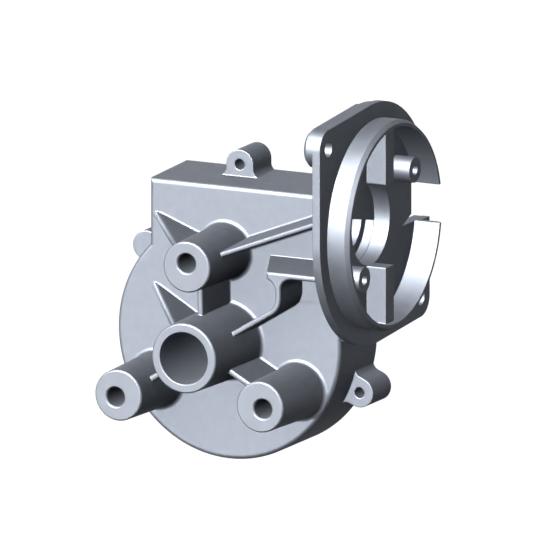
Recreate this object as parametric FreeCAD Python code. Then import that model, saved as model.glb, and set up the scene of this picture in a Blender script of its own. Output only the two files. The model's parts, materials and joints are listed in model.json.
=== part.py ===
import FreeCAD, Part
import math
import os

V = FreeCAD.Vector

# Die cast gear housing, all sizes in millimetres.
# X runs toward the motor side, -Y is the front that the output tube faces, +Z is up.
# It is drawn from the front face of the case plate, and moved at the end so that the origin
# is the centre of the mounting circle, level with the ends of the bosses.

# Output tube
tube_bore_r = 8.0
tube_wall = 2.7
tube_height = 29.4
tube_r = tube_bore_r + tube_wall
tube_chamfer = 0.2

# Three mounting bosses on one circle round the output axis
screw_r = 2.95
boss_wall = 4.85
boss_r = screw_r + boss_wall
boss_height = tube_height - 3.0
mount_r = 28.5
mount_turn = 1.2
boss_shift = 1.1
screw_depth = 20.0
screw_chamfer = 0.45

# Casting rules
draft = 1.5
foot_round = 1.2
edge_break = 0.4
case_round = 1.3
wall = 3.0
plate = 3.5
inner_bevel = 1.2

# Gear case and worm box, the case circle sits a little off the output axis
case_r = 37.3
case_x = 0.45
case_z = 0.75
case_depth = 25.0
top_draft = 1.5
box_left = 26.0
box_top_over_motor = 9.65
neck_step = 3.3

# Motor axis and flange
motor_y = case_depth / 2.0
motor_z = 37.55
face_x = 43.2
lip = 2.5
pad = 4.9
ring_r = 31.95
ring_height = 7.05
ring_wall = 1.95
ring_chamfer_length = 1.4
ring_chamfer_depth = 0.93
flange_margin = 4.95
flange_r = ring_r + flange_margin
pocket_r = ring_r - ring_wall
ear_hole_r = 2.4
ear_wall = 3.5
ear_r = ear_hole_r + ear_wall
ear_forward = 31.1
ear_up = 28.8
ear_length = 5.8
ear_bevel = 1.0
pad_inset = 0.5
web_width = 3.6

# Pocket behind the ring
pocket_depth = 8.4
inner_top = 2.0
partition = 5.4
post_r = 3.9
post_hole_r = 1.6
post_forward = 17.0
post_up = 13.6
post_hole_depth = 5.0
notch_high = 6.9
notch_low = 5.0
notch_reach = 27.4
notch_flare = 6.1

# Bearing seat and worm tunnel
seat_r = 12.75
seat_depth = 7.8
shelf_depth = 5.1
seat_wall = 2.85
seat_step = 0.3
seat_boss_length = 11.7
tunnel_r = 9.5
lip_tilt = 11.5
lip_rise = 0.6
end_bore_r = 4.0
end_block = 7.5
end_bore_depth = 5.4

# Cover screw lugs round the open back
lug_r = 4.5
lug_hole_r = 1.68
lug_length = 12.3
lug_margin = 3.4
lug_top_x = -2.15
lug_top_over_box = 4.0
lug_foot = 2.4
lug_floor = 3.0

# Ribs on the front plate
web_top = 1.8
web_base = 2.6
web_height = 18.0
s_height = 15.6
s_wall = 1.7
s_corner = 4.2
s_start = (6.0, 3.4)
s_heading = 31.8
s_bend_r = 5.1
s_up_x = 24.6
shelf_low = 24.3
shelf_front = shelf_low + 1.55
shelf_foot = shelf_low + 3.1
long_rib_end_z = motor_z + 6.55
gusset_width = 2.1
gusset_foot = 0.6
boss_gusset_angle = 159.0
boss_gusset_reach = 25.6
boss_gusset_height = web_height + 1.3
tube_gusset_angle = 149.1
tube_gusset_reach = 29.2
tube_gusset_height = web_height + 0.2
pad_rise = 0.5

box_top = motor_z + box_top_over_motor
back_x = face_x - pad
floor_x = face_x + ring_height - pocket_depth
rim_x = face_x + ring_height
slope = math.tan(math.radians(draft))
ear_angle = math.atan2(ear_up, ear_forward)
ear_distance = math.hypot(ear_forward, ear_up)


def cyl_y(x, z, y0, y1, r):
    return Part.makeCylinder(r, y1 - y0, V(x, y0, z), V(0, 1, 0))


def cyl_x(y, z, x0, x1, r):
    return Part.makeCylinder(r, x1 - x0, V(x0, y, z), V(1, 0, 0))


def cone_y(x, z, y0, y1, r0, r1):
    return Part.makeCone(r0, r1, y1 - y0, V(x, y0, z), V(0, 1, 0))


def prism_y(points, y0, y1):
    wire = Part.makePolygon([V(x, y0, z) for x, z in points + points[:1]])
    return Part.Face(wire).extrude(V(0, y1 - y0, 0))


def prism_x(points, x0, x1):
    wire = Part.makePolygon([V(x0, y, z) for y, z in points + points[:1]])
    return Part.Face(wire).extrude(V(x1 - x0, 0, 0))


# Motor side positions are given forward of and above the motor axis.
def fwd(forward, up):
    return (motor_y - forward, motor_z + up)


def line(a, b):
    return Part.LineSegment(a, b).toShape()


def arc(a, b, c):
    return Part.Arc(a, b, c).toShape()


# A drafted round post standing on the plate, with a flared foot and a broken tip edge.
def round_post(x, z, tip_r, height):
    base_r = tip_r + height * slope
    foot_r = base_r + foot_round
    bend = foot_round * (1.0 - math.sqrt(0.5))
    p = [(0, 1.0), (foot_r, 1.0), (foot_r, 0), (base_r + bend, -bend), (base_r, -foot_round),
         (tip_r, -height + edge_break), (tip_r - edge_break, -height), (0, -height)]
    profile = Part.makePolygon([V(r, y, 0) for r, y in p + p[:1]])
    solid = Part.Face(profile).revolve(V(0, 0, 0), V(0, 1, 0), 360)
    solid.translate(V(x, 0, z))
    return solid


# Section of a rib across its length: drafted sides, rounded top corners, flared foot.
def rib_section(base, top, height):
    f = foot_round * 0.6
    e = top * 0.35
    fb = f * (1.0 - math.sqrt(0.5))
    eb = e * (1.0 - math.sqrt(0.5))
    right = [(base / 2.0 + f, 0), (base / 2.0 + fb, -fb), (base / 2.0, -f),
             (top / 2.0, -height + e), (top / 2.0 - eb, -height + eb), (top / 2.0 - e, -height)]
    r = [V(s, y, 0) for s, y in right]
    l = [V(-s, y, 0) for s, y in right]
    br, bl = V(base / 2.0 + f, 1.0, 0), V(-base / 2.0 - f, 1.0, 0)
    edges = [line(bl, br), line(br, r[0]), arc(r[0], r[1], r[2]), line(r[2], r[3]), arc(r[3], r[4], r[5]),
             line(r[5], l[5]), arc(l[5], l[4], l[3]), line(l[3], l[2]), arc(l[2], l[1], l[0]), line(l[0], bl)]
    return Part.Face(Part.Wire(edges))


# A straight rib from one point of the plate to another.
def rib(a, b, base, top, height):
    dx, dz = b[0] - a[0], b[1] - a[1]
    face = rib_section(base, top, height)
    solid = face.extrude(V(0, 0, math.hypot(dx, dz)))
    turn = math.degrees(math.atan2(dx, dz))
    solid.rotate(V(0, 0, 0), V(0, 1, 0), turn)
    solid.translate(V(a[0], 0, a[1]))
    return solid


# A three-cornered gusset leaning on a post, lowest at its far tip, with a flared foot.
def gusset(centre, angle, near, far, height):
    half = gusset_width / 2.0
    bend = gusset_foot * (1.0 - math.sqrt(0.5))
    right = [(half + gusset_foot, 0.8), (half + gusset_foot, 0), (half + bend, -bend),
             (half, -gusset_foot), (half, -height)]
    section = [V(near, y, z) for z, y in right] + [V(near, y, -z) for z, y in reversed(right)]
    solid = Part.Face(Part.makePolygon(section + section[:1])).extrude(V(far - near, 0, 0))
    side = [V(near, 0.8, -half), V(far, 0.8, -half), V(far, 0, -half), V(near, -height, -half)]
    blade = Part.Face(Part.makePolygon(side + side[:1])).extrude(V(0, 0, gusset_width))
    top = [e for e in blade.Edges if abs(e.Length - math.hypot(far - near, height)) < 1e-3]
    blade = blade.makeFillet(0.42 * gusset_width, top)
    foot_end = far - half - gusset_foot
    wide = [V(min(p.x, foot_end), p.y, -half - gusset_foot) for p in side]
    below = Part.Face(Part.makePolygon(wide + wide[:1])).extrude(V(0, 0, gusset_width + 2.0 * gusset_foot))
    low = Part.makeBox(far, 0.8 + gusset_foot, 4.0 * gusset_width, V(0, -gusset_foot, -2.0 * gusset_width))
    solid = solid.common(below).common(low).fuse(blade)
    solid.rotate(V(0, 0, 0), V(0, 1, 0), -angle)
    solid.translate(V(centre[0], 0, centre[1]))
    return solid


# Outline of the case in the X-Z plane, drawn in by a distance, with the top raised by lift.
def case_outline(inset, y, lift):
    r = case_r - inset
    left = -box_left + inset
    top = box_top - inset + lift
    right = back_x - inset
    step = neck_step + inset
    side = case_x + r
    meet = math.sqrt(r * r - (left - case_x) ** 2)
    a, b, c = V(left, y, case_z + meet), V(left, y, top), V(right, y, top)
    d, e, f = V(right, y, step), V(side, y, step), V(side, y, case_z)
    turn = math.atan2(meet, left - case_x)
    half = (turn - 2.0 * math.pi) / 2.0
    mid = V(case_x + r * math.cos(half), y, case_z + r * math.sin(half))
    edges = [line(a, b), line(b, c), line(c, d), line(d, e), line(e, f)]
    return Part.Wire(edges + [arc(f, mid, a)])


# Outline of the motor flange in the Y-Z plane: a round body with two ears, joined by tangents.
def flange_outline(x, grow):
    big = flange_r + grow
    small = ear_r + grow
    spread = math.acos((big - small) / ear_distance)
    edges = []
    corners = []
    for turn in (0.0, math.pi):
        axis = ear_angle + turn
        ec = (ear_distance * math.cos(axis), ear_distance * math.sin(axis))
        lo, hi = axis - spread, axis + spread
        ring = [(big * math.cos(lo), big * math.sin(lo)), (big * math.cos(hi), big * math.sin(hi))]
        ear = [(ec[0] + small * math.cos(t), ec[1] + small * math.sin(t)) for t in (lo, axis, hi)]
        corners.append((ring, ear, hi))
    pt = lambda p: V(x, *fwd(p[0], p[1]))
    for i in range(2):
        ring, ear, hi = corners[i]
        nxt = corners[1 - i][0][0]
        gap = (math.pi - 2.0 * spread) / 2.0
        mid = (big * math.cos(hi + gap), big * math.sin(hi + gap))
        edges.append(line(pt(ring[0]), pt(ear[0])))
        edges.append(arc(pt(ear[0]), pt(ear[1]), pt(ear[2])))
        edges.append(line(pt(ear[2]), pt(ring[1])))
        edges.append(arc(pt(ring[1]), pt(mid), pt(nxt)))
    return Part.Face(Part.Wire(edges))


def edges_at_y(shape, y):
    return [e for e in shape.Edges if all(abs(v.Y - y) < 1e-4 for v in e.Vertexes)
            and abs(e.CenterOfMass.y - y) < 1e-4]


def case_body():
    lift = case_depth * math.tan(math.radians(top_draft))
    body = Part.makeLoft([case_outline(0.0, 0.0, 0.0), case_outline(0.0, case_depth, lift)], True, True)
    return body.makeFillet(case_round, edges_at_y(body, 0.0))


def cavity():
    hollow = Part.Face(case_outline(wall, plate, 0.0)).extrude(V(0, case_depth + 5.0 - plate, 0))
    hollow = hollow.makeChamfer(inner_bevel, edges_at_y(hollow, plate))
    block = Part.makeBox(end_block, 2.0 * case_depth, 40.0, V(-box_left, 0, motor_z - 12.0))
    hollow = hollow.cut(block)
    boss = cyl_x(motor_y, motor_z, face_x - seat_boss_length, face_x, seat_r + seat_wall)
    return hollow.cut(boss)


def mount_points(radius):
    spots = []
    for k in range(3):
        t = math.radians(90.0 + mount_turn + 120.0 * k)
        spots.append((radius * math.cos(t), radius * math.sin(t)))
    return spots


def front_posts():
    parts = [round_post(0, 0, tube_r, tube_height)]
    parts += [round_post(x, z, boss_r, boss_height) for x, z in mount_points(mount_r - boss_shift)]
    return parts


# Prism between two slanted lines, used for the pieces of the bent web.
def bar_between(a, b, width, height):
    dx, dz = b[0] - a[0], b[1] - a[1]
    d = math.hypot(dx, dz)
    px, pz = -dz / d * width / 2.0, dx / d * width / 2.0
    p = [(a[0] + px, a[1] + pz), (a[0] - px, a[1] - pz), (b[0] - px, b[1] - pz), (b[0] + px, b[1] + pz)]
    return prism_y(p, -height, 1.0)


# Web that leaves the tube, bends upward and ends under a level shelf that runs to the flange.
def bent_web():
    start, bend_r, up_x = s_start, s_bend_r, s_up_x
    h = math.radians(s_heading)
    sx = up_x - bend_r + bend_r * math.sin(h)
    sz = start[1] + (sx - start[0]) * math.tan(h)
    cx, cz = up_x - bend_r, sz + bend_r * math.cos(h)
    low = bar_between(start, (sx, sz), s_wall, s_height)
    bend = cyl_y(cx, cz, -s_height, 1.0, bend_r + s_wall / 2.0)
    bend = bend.cut(cyl_y(cx, cz, -s_height - 1.0, 2.0, bend_r - s_wall / 2.0))
    far = 3.0 * bend_r
    wedge = prism_y([(cx, cz), (cx + far * math.sin(h), cz - far * math.cos(h)), (cx + far, cz - far), (cx + far, cz)],
                    -s_height - 1.0, 2.0)
    bend = bend.common(wedge)
    upright = bar_between((up_x, cz), (up_x, shelf_low + 0.5), s_wall, s_height)
    side = [V(0, 1.0, shelf_low - 1.3), V(0, 1.0, shelf_foot), V(0, 0, shelf_foot),
            V(0, -s_height, shelf_front), V(0, -s_height, shelf_low)]
    shelf = Part.Face(Part.makePolygon(side + side[:1])).extrude(V(face_x - 1.0, 0, 0))
    left = up_x - s_wall / 2.0 - s_corner
    corner_l = Part.makeBox(s_corner + 0.2, s_height + 1.0, s_corner + 0.3, V(left, -s_height, shelf_low - s_corner))
    corner_l = corner_l.cut(cyl_y(left, shelf_low - s_corner - 0.3, -s_height - 1.0, 2.0, s_corner))
    r2 = 0.85 * s_corner
    right = up_x + s_wall / 2.0 + r2
    corner_r = Part.makeBox(r2 + 0.2, s_height + 1.0, r2 + 0.3, V(right - r2 - 0.2, -s_height, shelf_low - r2))
    corner_r = corner_r.cut(cyl_y(right, shelf_low - r2 - 0.1, -s_height - 1.0, 2.0, r2))
    web = low.multiFuse([bend, upright, shelf, corner_l, corner_r])
    rake = [V(-1, 2.0, shelf_low - 6.0), V(13.6, 2.0, shelf_low - 6.0), V(21.4, -s_height - 1.0, shelf_low - 6.0),
            V(-1, -s_height - 1.0, shelf_low - 6.0)]
    rake = Part.Face(Part.makePolygon(rake + rake[:1])).extrude(V(0, 0, 16.0))
    clear = prism_y([(start[0] - 5, start[1] - 5), (start[0] + 12, start[1] + 6), (21.0, 13.5), (23.0, 18.5),
                     (21.0, 18.7), (19.0, 18.7), (-2, 18.7)], -s_height - 2.0, 3.0)
    web = web.cut(rake.cut(clear)).removeSplitter()
    web = web.makeChamfer(min(edge_break, 0.25 * s_wall), edges_at_y(web, -s_height))
    low_pad = [(1.0, 13.6), (0.0, 13.6), (-pad_rise, 14.2), (-pad_rise, shelf_low), (1.0, shelf_low)]
    return web.fuse(prism_x(low_pad, up_x, face_x - 3.0))


def front_ribs():
    spots = mount_points(mount_r - boss_shift)
    parts = [rib((0, 0), s, web_base, web_top, web_height) for s in spots]
    boss_a = spots[0]
    # long rib from the upper boss to the flange
    parts.append(rib(boss_a, (face_x - 1.0, long_rib_end_z), web_base + 0.6, web_top - 0.3, web_height))
    parts.append(bent_web())
    # gussets on the upper boss and on the tube
    parts.append(gusset(boss_a, boss_gusset_angle, boss_r - 1.0, boss_gusset_reach, boss_gusset_height))
    parts.append(gusset((0, 0), tube_gusset_angle, tube_r - 1.0, tube_gusset_reach, tube_gusset_height))
    return parts


# A cover lug that ends at the open back, with curved feet either side.
def lug(x, z, foot_x, foot_z):
    y0 = case_depth - lug_length
    body = cyl_y(x, z, y0, case_depth, lug_r)
    dx, dz = foot_x - x, foot_z - z
    d = math.hypot(dx, dz)
    neck = prism_y([(-lug_r, 0), (lug_r, 0), (lug_r, d + 1.0), (-lug_r, d + 1.0)], y0, case_depth)
    for side in (-1.0, 1.0):
        x0, x1 = side * (lug_r - 0.3), side * (lug_r + lug_foot)
        web = prism_y([(x0, d - lug_foot), (x1, d - lug_foot), (x1, d + 1.0), (x0, d + 1.0)], y0, case_depth)
        neck = neck.fuse(web.cut(cyl_y(x1, d - lug_foot, y0 - 1.0, case_depth + 1.0, lug_foot)))
    neck.rotate(V(0, 0, 0), V(0, 1, 0), math.degrees(math.atan2(dx, dz)))
    neck.translate(V(x, 0, z))
    return body.fuse(neck)


# Lug centres with the point of the case each one stands on, and whether its hole comes through.
def lug_spots():
    spots = [(lug_top_x, box_top + lug_top_over_box, lug_top_x, box_top + 0.2, True)]
    for angle, through in ((146.3, False), (212.0, True), (-22.8, True)):
        t = math.radians(angle)
        c, s = math.cos(t), math.sin(t)
        far, near = case_r + lug_margin, case_r - 0.8
        spots.append((case_x + far * c, case_z + far * s, case_x + near * c, case_z + near * s, through))
    return spots


def flange():
    plate_lip = flange_outline(face_x - lip, 0.0).extrude(V(lip, 0, 0))
    thick = flange_outline(back_x, -pad_inset).extrude(V(pad, 0, 0))
    span = 2.0 * (ear_distance + flange_r)
    keep = Part.makeBox(pad, span, 2.0 * span, V(back_x, 0, motor_z - span))
    body = plate_lip.fuse(thick.common(keep))
    for turn in (0.0, math.pi):
        f, u = ear_distance * math.cos(ear_angle + turn), ear_distance * math.sin(ear_angle + turn)
        y, z = fwd(f, u)
        boss = cyl_x(y, z, face_x - ear_length, face_x, ear_r)
        back = [e for e in boss.Edges if abs(e.CenterOfMass.x - face_x + ear_length) < 1e-4]
        body = body.fuse(boss.makeChamfer(min(ear_bevel, 0.4 * ear_r), back))
    # stiffening band behind the slanted edge beside the front ear
    spread = math.acos((flange_r - ear_r) / ear_distance)
    t = ear_angle + spread
    c, s = math.cos(t), math.sin(t)
    ex, ez = ear_forward, ear_up
    band = [(ex + ear_r * c, ez + ear_r * s), (flange_r * c, flange_r * s),
            ((flange_r - web_width) * c, (flange_r - web_width) * s),
            (ex + (ear_r - web_width) * c, ez + (ear_r - web_width) * s)]
    return body.fuse(prism_x([fwd(a, b) for a, b in band], back_x, face_x - 0.5))


def ring():
    body = cyl_x(motor_y, motor_z, face_x - 1.0, rim_x - ring_chamfer_length, ring_r)
    tip = Part.makeCone(ring_r, ring_r - ring_chamfer_depth, ring_chamfer_length,
                        V(rim_x - ring_chamfer_length, motor_y, motor_z), V(1, 0, 0))
    return body.fuse(tip)


def pocket_inside():
    top_x = rim_x - inner_top
    bar = Part.makeBox(top_x - floor_x + 0.5, partition, 2.0 * ring_r,
                       V(floor_x - 0.5, motor_y - partition / 2.0, motor_z - ring_r))
    bar = bar.common(cyl_x(motor_y, motor_z, floor_x - 1.0, rim_x, pocket_r + ring_wall / 2.0))
    slot = Part.makeBox(30, 30, 2.0 * seat_r, V(floor_x - 1.0, motor_y - 15, motor_z - seat_r))
    parts = [bar.cut(slot)]
    for side in (-1.0, 1.0):
        y, z = fwd(side * post_forward, -side * post_up)
        parts.append(cyl_x(y, z, floor_x - 0.5, top_x, post_r))
    return parts


# The lower part of the seat, below a lip that leans a little.
def below_lip(x0, x1):
    size = 3.0 * seat_r
    box = Part.makeBox(x1 - x0, 2.0 * size, size, V(x0, -size, -size))
    box.rotate(V(0, 0, 0), V(1, 0, 0), -lip_tilt)
    box.translate(V(0, motor_y, motor_z + lip_rise))
    return box


def seat_cuts():
    shallow = cyl_x(motor_y, motor_z, floor_x - shelf_depth, rim_x, seat_r)
    deep = cyl_x(motor_y, motor_z, floor_x - seat_depth, floor_x, seat_r - seat_step)
    tunnel = cyl_x(motor_y, motor_z, face_x - 16.0, floor_x, tunnel_r)
    zone = below_lip(face_x - 20.0, floor_x)
    return [shallow.common(cyl_x(motor_y, motor_z, 0, floor_x + 0.01, seat_r)), deep.common(zone), tunnel.common(zone)]


def notch_cut():
    p = [(-60.0, notch_high), (-notch_reach, notch_high), (-notch_reach, -notch_low + notch_flare * 0.41),
         (-notch_reach + notch_flare, -notch_low), (-60.0, -notch_low)]
    return prism_x([fwd(a, b) for a, b in p], back_x - 2.0, rim_x + 1.0)


def chamfered_hole(x, z, r, y_top, depth, chamfer):
    hole = cyl_y(x, z, y_top - 0.01, y_top + depth, r)
    return hole.fuse(cone_y(x, z, y_top - 0.01, y_top + chamfer, r + chamfer, r))


def build():
    body = case_body()
    seat_boss = cyl_x(motor_y, motor_z, face_x - seat_boss_length, face_x - 1.0, seat_r + seat_wall)
    body = body.multiFuse([flange(), seat_boss])
    extras = front_posts() + front_ribs() + [lug(*s[:4]) for s in lug_spots()]
    body = body.multiFuse(extras)
    body = body.cut(cavity())
    body = body.fuse(ring())
    body = body.cut(cyl_x(motor_y, motor_z, floor_x, rim_x + 5.0, pocket_r))
    body = body.multiFuse(pocket_inside())
    cuts = seat_cuts() + [notch_cut()]
    cuts.append(chamfered_hole(0, 0, tube_bore_r, -tube_height, tube_height + 10.0, tube_chamfer))
    for x, z in mount_points(mount_r):
        cuts.append(chamfered_hole(x, z, screw_r, -boss_height, screw_depth, screw_chamfer))
    for x, z, _, _, through in lug_spots():
        front = case_depth - lug_length + (-1.0 if through else lug_floor)
        cuts.append(cyl_y(x, z, front, case_depth + 1.0, lug_hole_r))
    for turn in (0.0, math.pi):
        f, u = ear_distance * math.cos(ear_angle + turn), ear_distance * math.sin(ear_angle + turn)
        y, z = fwd(f, u)
        cuts.append(cyl_x(y, z, face_x - ear_length - 1.0, face_x + 1.0, ear_hole_r))
    for side in (-1.0, 1.0):
        y, z = fwd(side * post_forward, -side * post_up)
        cuts.append(cyl_x(y, z, rim_x - inner_top - post_hole_depth, rim_x, post_hole_r))
    cuts.append(cyl_x(motor_y, motor_z, -box_left + end_block - end_bore_depth, 0, end_bore_r))
    body = body.cut(Part.makeCompound(cuts))
    return body.removeSplitter()


housing = build()
if housing.ShapeType == "Compound" and len(housing.Solids) == 1:
    housing = housing.Solids[0]
housing.translate(V(0, boss_height, 0))
os.makedirs("parts", exist_ok=True)
housing.exportStep("parts/gear_housing.step")
print("solids", len(housing.Solids), "valid", housing.isValid(), "volume cm3", round(housing.Volume / 1000.0, 2))
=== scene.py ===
import bpy
import bmesh
import json
import math
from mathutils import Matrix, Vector


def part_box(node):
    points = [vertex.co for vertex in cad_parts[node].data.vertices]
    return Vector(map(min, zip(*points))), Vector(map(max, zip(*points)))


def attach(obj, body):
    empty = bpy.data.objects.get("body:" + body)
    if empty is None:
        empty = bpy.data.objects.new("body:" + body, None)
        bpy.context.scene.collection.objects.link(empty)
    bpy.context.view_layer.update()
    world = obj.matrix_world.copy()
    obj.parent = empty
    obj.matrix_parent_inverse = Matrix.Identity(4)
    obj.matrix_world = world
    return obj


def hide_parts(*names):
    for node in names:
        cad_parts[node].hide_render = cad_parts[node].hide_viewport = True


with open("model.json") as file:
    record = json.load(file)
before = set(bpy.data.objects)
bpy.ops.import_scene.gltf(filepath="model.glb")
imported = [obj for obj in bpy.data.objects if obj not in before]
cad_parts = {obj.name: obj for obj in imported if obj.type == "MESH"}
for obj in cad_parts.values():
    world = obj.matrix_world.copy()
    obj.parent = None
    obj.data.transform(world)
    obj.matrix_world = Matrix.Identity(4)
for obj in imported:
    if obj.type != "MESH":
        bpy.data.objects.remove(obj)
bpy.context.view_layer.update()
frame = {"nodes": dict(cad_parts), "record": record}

# Gear housing
# One pressure die casting in aluminium: gear case, worm box, output tube, mounting bosses, ribs,
# motor flange and ring. It has a satin skin, and the faces that carry other parts are machined.
# Its form is the solid's own, so that only smooth curves, skin and edges are made here.
mounts = {mount["name"]: mount for mount in frame["record"]["mounts"]}
flange_x, motor_y, motor_z = mounts["motor_flange_holes"]["pos_m"]
post_x = mounts["brush_card_posts"]["pos_m"][0]
seat_x = mounts["bearing_seat"]["pos_m"][0]
boss_y = mounts["boss_faces"]["pos_m"][1]
cover_y = mounts["cover_face"]["pos_m"][1]
plate_y = 0.0264
foot_round = 0.0013
hair = 0.0001
weld = 0.000001
curve_turn = math.radians(24.0)
foot_turn = math.radians(50.0)


def mount_size(name, size):
    return mounts[name]["dims"][size] / 1000.0


ring_r = mount_size("motor_spigot", "r_mm")
seat_r = mount_size("bearing_seat", "r_mm")
seat_length = mount_size("bearing_seat", "length_mm")
bore_r = mount_size("output_bore", "r_mm")

# The solid's loose triangles are joined, and an edge stays sharp where two real faces meet.
# The cones where bosses and ribs stand on the plate are shaded as rounds, so they may turn further.
form = bmesh.new()
form.from_mesh(frame["nodes"]["gear_housing"].data)
bmesh.ops.remove_doubles(form, verts=form.verts, dist=weld)
for face in form.faces:
    face.smooth = True
for edge in form.edges:
    at_foot = all(-foot_round < vert.co.y - plate_y < hair for vert in edge.verts)
    edge.smooth = edge.calc_face_angle(0.0) < (foot_turn if at_foot else curve_turn)

# A corner takes its direction mostly from the widest flat that meets there,
# so flats stay flat up to their edge and the narrow rounds take the whole turn.
# Faces count as one flat if their directions agree to 0.001 and their distances to 0.01 mm.
centimetres = 100.0
decimals = 3


def plane_of(face):
    distance = centimetres * face.normal.dot(face.verts[0].co)
    return tuple(round(value, decimals) for value in (*face.normal, distance))


def smooth_fans(vert):
    waiting = set(vert.link_faces)
    while waiting:
        fan = [waiting.pop()]
        for face in fan:
            for edge in face.edges:
                if vert in edge.verts and edge.smooth:
                    beside = [other for other in edge.link_faces if other in waiting]
                    waiting.difference_update(beside)
                    fan.extend(beside)
        yield fan


flat_area = {}
for face in form.faces:
    plane = plane_of(face)
    flat_area[plane] = flat_area.get(plane, 0.0) + face.calc_area()
corner_normal = {}
for vert in form.verts:
    for fan in smooth_fans(vert):
        shared = Vector()
        for face in fan:
            shared += face.normal * flat_area[plane_of(face)]
        for face in fan:
            corner_normal[face.index, vert.index] = shared.normalized()
mesh = bpy.data.meshes.new("housing_casting")
form.to_mesh(mesh)
form.free()
if "custom_normal" in mesh.attributes:
    mesh.attributes.remove(mesh.attributes["custom_normal"])
mesh.normals_split_custom_set([corner_normal[face.index, mesh.loops[corner].vertex_index]
                               for face in mesh.polygons for corner in face.loop_indices])

# Grain of the metal, for the cast skin and for the machined faces.
# Wide soft patches come from the flow in the die, and fine lumps from its worn surface.
grain = bpy.data.node_groups.new("cast_grain", "ShaderNodeTree")
for name, default_mm in (("Coarse mm", 2.4), ("Fine mm", 0.22)):
    socket = grain.interface.new_socket(name, in_out="INPUT", socket_type="NodeSocketFloat")
    socket.default_value = default_mm
for name in ("Height", "Patches"):
    grain.interface.new_socket(name, in_out="OUTPUT", socket_type="NodeSocketFloat")
nodes, links = grain.nodes, grain.links
inside = nodes.new("NodeGroupInput")
outside = nodes.new("NodeGroupOutput")
place = nodes.new("ShaderNodeTexCoord")
millimetres = 1000.0
coarse_share = 0.35


def lumps(size_name, detail, rough):
    scale = nodes.new("ShaderNodeMath")
    scale.operation = "DIVIDE"
    scale.inputs[0].default_value = millimetres
    links.new(inside.outputs[size_name], scale.inputs[1])
    noise = nodes.new("ShaderNodeTexNoise")
    noise.inputs["Detail"].default_value = detail
    noise.inputs["Roughness"].default_value = rough
    links.new(place.outputs["Object"], noise.inputs["Vector"])
    links.new(scale.outputs[0], noise.inputs["Scale"])
    return noise.outputs["Fac"]


coarse = lumps("Coarse mm", detail=3.0, rough=0.55)
fine = lumps("Fine mm", detail=2.0, rough=0.6)
blend = nodes.new("ShaderNodeMath")
blend.operation = "MULTIPLY_ADD"
blend.inputs[1].default_value = coarse_share
links.new(coarse, blend.inputs[0])
links.new(fine, blend.inputs[2])
links.new(blend.outputs[0], outside.inputs["Height"])
links.new(coarse, outside.inputs["Patches"])

# Edges of the metal. Each cast edge is a small round, and rubs bright when the castings are tumbled; the
# lighter colour put on every edge, inside corners too, is partly that rub and partly a painted highlight.
# The group rounds an edge in the shading, and says how far a point is turned by that round.
edges = bpy.data.node_groups.new("cast_edges", "ShaderNodeTree")
socket = edges.interface.new_socket("Round mm", in_out="INPUT", socket_type="NodeSocketFloat")
socket.default_value = 0.5
edges.interface.new_socket("Normal", in_out="OUTPUT", socket_type="NodeSocketVector")
edges.interface.new_socket("Edge", in_out="OUTPUT", socket_type="NodeSocketFloat")
nodes, links = edges.nodes, edges.links
inside = nodes.new("NodeGroupInput")
outside = nodes.new("NodeGroupOutput")
radius = nodes.new("ShaderNodeMath")
radius.operation = "DIVIDE"
radius.inputs[1].default_value = millimetres
links.new(inside.outputs["Round mm"], radius.inputs[0])
rounded = nodes.new("ShaderNodeBevel")
rounded.samples = 6
links.new(radius.outputs[0], rounded.inputs["Radius"])
links.new(rounded.outputs["Normal"], outside.inputs["Normal"])
shape = nodes.new("ShaderNodeNewGeometry")
turned = nodes.new("ShaderNodeVectorMath")
turned.operation = "DOT_PRODUCT"
links.new(rounded.outputs["Normal"], turned.inputs[0])
links.new(shape.outputs["Normal"], turned.inputs[1])
hardly_turned, fully_turned = 0.995, 0.80
near = nodes.new("ShaderNodeMapRange")
near.inputs["From Min"].default_value = hardly_turned
near.inputs["From Max"].default_value = fully_turned
links.new(turned.outputs["Value"], near.inputs["Value"])
links.new(near.outputs["Result"], outside.inputs["Edge"])

# The metal itself, bare and a little dulled by its oxide.
# From patch to patch it goes from a darker to a lighter tone, and from smoother to rougher.
patch_low, patch_high = 0.3, 0.7
rough_swing = 0.015
# Colour mixed onto every edge: partly the bright rub of tumbled edges, partly a painted highlight on the
# rounds.
rubbed_edge_and_highlight = (0.79, 0.83, 0.91, 1.0)
grain_height = 0.0001
bare_share = 0.95


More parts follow.
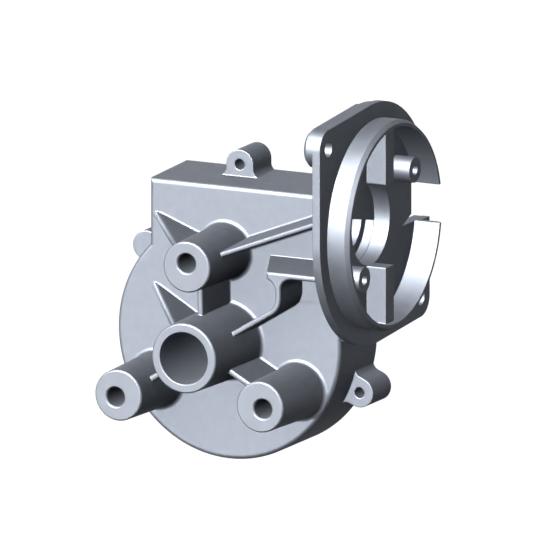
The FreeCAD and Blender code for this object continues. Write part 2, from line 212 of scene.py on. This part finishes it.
def metal(name, dark, light, rough, relief, coarse_mm, fine_mm, edge_mm):
    material = bpy.data.materials.new(name)
    material.use_nodes = True
    nodes, links = material.node_tree.nodes, material.node_tree.links
    surface = nodes["Principled BSDF"]
    surface.inputs["Metallic"].default_value = bare_share
    pattern = nodes.new("ShaderNodeGroup")
    pattern.node_tree = grain
    pattern.inputs["Coarse mm"].default_value = coarse_mm
    pattern.inputs["Fine mm"].default_value = fine_mm
    rounds = nodes.new("ShaderNodeGroup")
    rounds.node_tree = edges
    rounds.inputs["Round mm"].default_value = edge_mm
    tone = nodes.new("ShaderNodeValToRGB")
    tone.color_ramp.elements[0].position = patch_low
    tone.color_ramp.elements[0].color = (*dark, 1.0)
    tone.color_ramp.elements[1].position = patch_high
    tone.color_ramp.elements[1].color = (*light, 1.0)
    links.new(pattern.outputs["Patches"], tone.inputs["Fac"])
    # Every edge is lightened towards that colour, a rub that is partly a painted highlight.
    rubbed_and_highlit = nodes.new("ShaderNodeMix")
    rubbed_and_highlit.data_type = "RGBA"
    rubbed_and_highlit.inputs["B"].default_value = rubbed_edge_and_highlight
    links.new(rounds.outputs["Edge"], rubbed_and_highlit.inputs["Factor"])
    links.new(tone.outputs["Color"], rubbed_and_highlit.inputs["A"])
    links.new(rubbed_and_highlit.outputs["Result"], surface.inputs["Base Color"])
    gloss = nodes.new("ShaderNodeMapRange")
    gloss.inputs["From Min"].default_value = patch_low
    gloss.inputs["From Max"].default_value = patch_high
    gloss.inputs["To Min"].default_value = rough - rough_swing
    gloss.inputs["To Max"].default_value = rough + rough_swing
    links.new(pattern.outputs["Patches"], gloss.inputs["Value"])
    links.new(gloss.outputs["Result"], surface.inputs["Roughness"])
    bump = nodes.new("ShaderNodeBump")
    bump.inputs["Strength"].default_value = relief
    bump.inputs["Distance"].default_value = grain_height
    links.new(pattern.outputs["Height"], bump.inputs["Height"])
    links.new(rounds.outputs["Normal"], bump.inputs["Normal"])
    links.new(bump.outputs["Normal"], surface.inputs["Normal"])
    return material


cast_skin = metal("cast_skin", dark=(0.469, 0.507, 0.585), light=(0.498, 0.539, 0.619), rough=0.55,
                  relief=0.28, coarse_mm=2.4, fine_mm=0.22, edge_mm=0.5)
machined_face = metal("machined_face", dark=(0.490, 0.529, 0.602), light=(0.517, 0.558, 0.634), rough=0.54,
                      relief=0.12, coarse_mm=5.0, fine_mm=0.12, edge_mm=0.25)

# The machined faces are the ends of bosses and tube, the cover side, the flange with the ends of ring
# and posts, the ring's outer wall, the bearing seat and the bore of the output tube.
square_on, side_on = 0.99, 0.1


def is_machined(face):
    c, n = face.center, face.normal
    from_motor = math.hypot(c.y - motor_y, c.z - motor_z)
    boss_end = n.y < -square_on and c.y < boss_y + hair
    cover_side = n.y > square_on and c.y > cover_y - hair
    flange_side = n.x > square_on and (abs(c.x - flange_x) < hair / 2.0 or c.x > post_x - hair / 2.0)
    round_motor = abs(n.x) < side_on
    ring_wall = round_motor and c.x > flange_x and abs(from_motor - ring_r) < hair
    seat_wall = round_motor and abs(c.x - seat_x) < seat_length / 2.0 and abs(from_motor - seat_r) < hair
    tube_bore = abs(n.y) < side_on and math.hypot(c.x, c.z) < bore_r + hair / 10.0
    return boss_end or cover_side or flange_side or ring_wall or seat_wall or tube_bore


mesh.materials.append(cast_skin)
mesh.materials.append(machined_face)
for face in mesh.polygons:
    face.material_index = 1 if is_machined(face) else 0
casting = bpy.data.objects.new("housing_casting", mesh)
bpy.context.scene.collection.objects.link(casting)
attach(casting, "root")
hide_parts("gear_housing")


# Floor
# A wide sheet of matt paper just under the housing, which also fills the picture behind it.
# The camera sees it plain white, and the metal sees it nearly black, as in a dark booth.
half_sheet = 6.0
gap_under = 0.0004
seen_in_metal = 0.033
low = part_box("gear_housing")[0].z - gap_under
corners = [(-half_sheet, -half_sheet, low), (half_sheet, -half_sheet, low),
           (half_sheet, half_sheet, low), (-half_sheet, half_sheet, low)]
sheet = bpy.data.meshes.new("floor")
sheet.from_pydata(corners, [], [(0, 1, 2, 3)])
floor = bpy.data.objects.new("floor", sheet)
bpy.context.scene.collection.objects.link(floor)
floor.visible_shadow = False
paper = bpy.data.materials.new("white_paper")
paper.use_nodes = True
nodes, links = paper.node_tree.nodes, paper.node_tree.links
matt = nodes["Principled BSDF"]
matt.inputs["Base Color"].default_value = (0.12, 0.12, 0.12, 1.0)
matt.inputs["Roughness"].default_value = 0.9
matt.inputs["Specular IOR Level"].default_value = 0.1
ray = nodes.new("ShaderNodeLightPath")
seen = nodes.new("ShaderNodeMath")
seen.operation = "MULTIPLY_ADD"
seen.inputs[1].default_value = seen_in_metal
links.new(ray.outputs["Is Glossy Ray"], seen.inputs[0])
links.new(ray.outputs["Is Camera Ray"], seen.inputs[2])
glow = nodes.new("ShaderNodeEmission")
glow.inputs["Strength"].default_value = 0.90
both = nodes.new("ShaderNodeAddShader")
links.new(glow.outputs[0], both.inputs[0])
links.new(matt.outputs[0], both.inputs[1])
pick = nodes.new("ShaderNodeMixShader")
links.new(seen.outputs[0], pick.inputs["Fac"])
links.new(matt.outputs[0], pick.inputs[1])
links.new(both.outputs[0], pick.inputs[2])
links.new(pick.outputs[0], nodes["Material Output"].inputs["Surface"])
sheet.materials.append(paper)


# Studio light
# A faint dome lifts the shaded faces, a little more from behind, below and the left.
# The camera sees plain white where the dome is.
faint, less_faint = 0.059, 0.096
brightest_toward = Vector((-0.50, 0.80, -0.33)).normalized()
world = bpy.data.worlds.new("studio")
bpy.context.scene.world = world
world.use_nodes = True
nodes, links = world.node_tree.nodes, world.node_tree.links
dome = nodes["Background"]
dome.inputs["Color"].default_value = (1.0, 1.0, 1.0, 1.0)
direction = nodes.new("ShaderNodeTexCoord")
toward = nodes.new("ShaderNodeVectorMath")
toward.operation = "DOT_PRODUCT"
toward.inputs[1].default_value = brightest_toward
links.new(direction.outputs["Generated"], toward.inputs[0])
level = nodes.new("ShaderNodeMapRange")
level.inputs["From Min"].default_value = -0.1
level.inputs["From Max"].default_value = 1.0
level.inputs["To Min"].default_value = faint
level.inputs["To Max"].default_value = less_faint
links.new(toward.outputs["Value"], level.inputs["Value"])
ray = nodes.new("ShaderNodeLightPath")
backdrop = nodes.new("ShaderNodeMix")
backdrop.data_type = "FLOAT"
backdrop.inputs["B"].default_value = 1.0
links.new(ray.outputs["Is Camera Ray"], backdrop.inputs["Factor"])
links.new(level.outputs["Result"], backdrop.inputs["A"])
links.new(backdrop.outputs["Result"], dome.inputs["Strength"])

# Four wide lamps, each so far off that only its direction counts. Two stand together above the front:
# the weak one throws the shadows, and the strong one lights the metal without any.
# The third lights the back from below and the left, and the fourth the motor side.
lamp_width = math.radians(60.0)
above_front = (-0.135, -0.79, 0.60)


def lamp(name, toward_light, strength, shadow=True, direct_only=True):
    light = bpy.data.lights.new(name, "SUN")
    light.angle = lamp_width
    light.energy = strength
    light.use_shadow = shadow
    light.cycles.max_bounces = 0 if direct_only else 1024
    light.cycles.use_multiple_importance_sampling = not direct_only
    stand = bpy.data.objects.new(name, light)
    bpy.context.scene.collection.objects.link(stand)
    stand.rotation_euler = Vector(toward_light).to_track_quat("Z", "Y").to_euler()


lamp("key", above_front, 0.77)
lamp("key_fill", above_front, 5.85, shadow=False)
lamp("back_light", (-0.45, 0.80, -0.50), 1.18, direct_only=False)
lamp("motor_side_light", (0.95, -0.28, -0.05), 0.265)


# Camera
# A level picture with no perspective, from the right of the front and a little above.
# The two aims, in picture pixels, run from where the output axis meets the front of the plate
# to the middle of the picture.
turn, tilt = math.radians(26.5), math.radians(12.3)
pixel = 0.0003
picture_px = 555
aim_right_px, aim_up_px = 50.24, 62.43
distance = 1.0
right = Vector((math.cos(turn), math.sin(turn), 0.0))
up = Vector((-math.sin(turn) * math.sin(tilt), math.cos(turn) * math.sin(tilt), math.cos(tilt)))
back = Vector((math.sin(turn) * math.cos(tilt), -math.cos(turn) * math.cos(tilt), math.sin(tilt)))
camera = bpy.data.objects.new("camera", bpy.data.cameras.new("camera"))
bpy.context.scene.collection.objects.link(camera)
camera.data.type = "ORTHO"
camera.data.ortho_scale = picture_px * pixel
camera.data.clip_start = 0.01
camera.data.clip_end = 50.0
centre = Vector((0.0, plate_y, 0.0)) + right * (aim_right_px * pixel) + up * (aim_up_px * pixel)
camera.location = centre + back * distance
camera.rotation_euler = back.to_track_quat("Z", "Y").to_euler()
bpy.context.scene.camera = camera
bpy.context.scene.view_settings.view_transform = "Standard"
